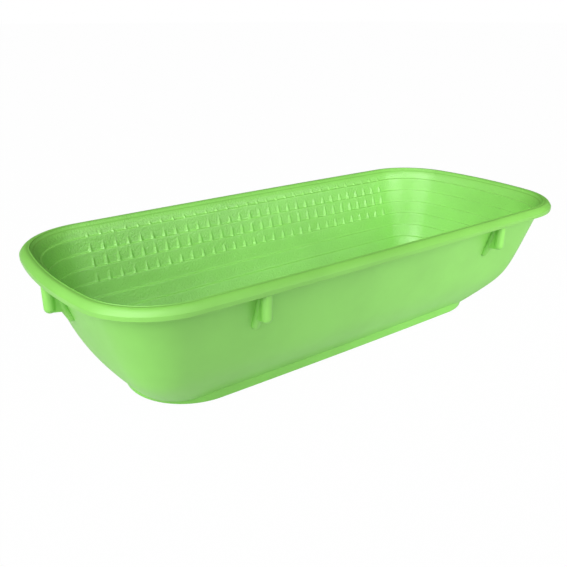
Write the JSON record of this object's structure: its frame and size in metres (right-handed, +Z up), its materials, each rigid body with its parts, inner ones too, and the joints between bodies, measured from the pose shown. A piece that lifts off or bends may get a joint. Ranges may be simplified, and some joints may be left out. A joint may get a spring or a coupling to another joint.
{
  "type": "gold pan",
  "caption": "Rectangular riffled gold pan: deep sloping tray with stepped, ribbed inner walls, a rolled rim, a foot ring and stacking lugs.",
  "frame": {"origin": "on the surface that the pan stands on, at the middle of the foot ring", "axes": "+X along the pan's length, +Y across its width, +Z up out of the pan's mouth"},
  "size_m": [0.35, 0.159, 0.08],
  "materials": {
    "shell_plastic": "bright green polypropylene, fine pebble grain inside, smooth satin outside",
    "rim_plastic": "bright green polypropylene, smooth and semi-gloss",
    "foot_plastic": "bright green polypropylene, smooth satin",
    "lug_plastic": "bright green polypropylene, smooth satin"
  },
  "bodies": {
    "root": {"pan_shell": "shell_plastic", "rolled_rim": "rim_plastic", "foot_ring": "foot_plastic", "stacking_lug_front_left": "lug_plastic", "stacking_lug_front_right": "lug_plastic", "stacking_lug_back_left": "lug_plastic", "stacking_lug_back_right": "lug_plastic", "stacking_lug_left_end": "lug_plastic", "stacking_lug_right_end": "lug_plastic"}
  },
  "joints": []
}
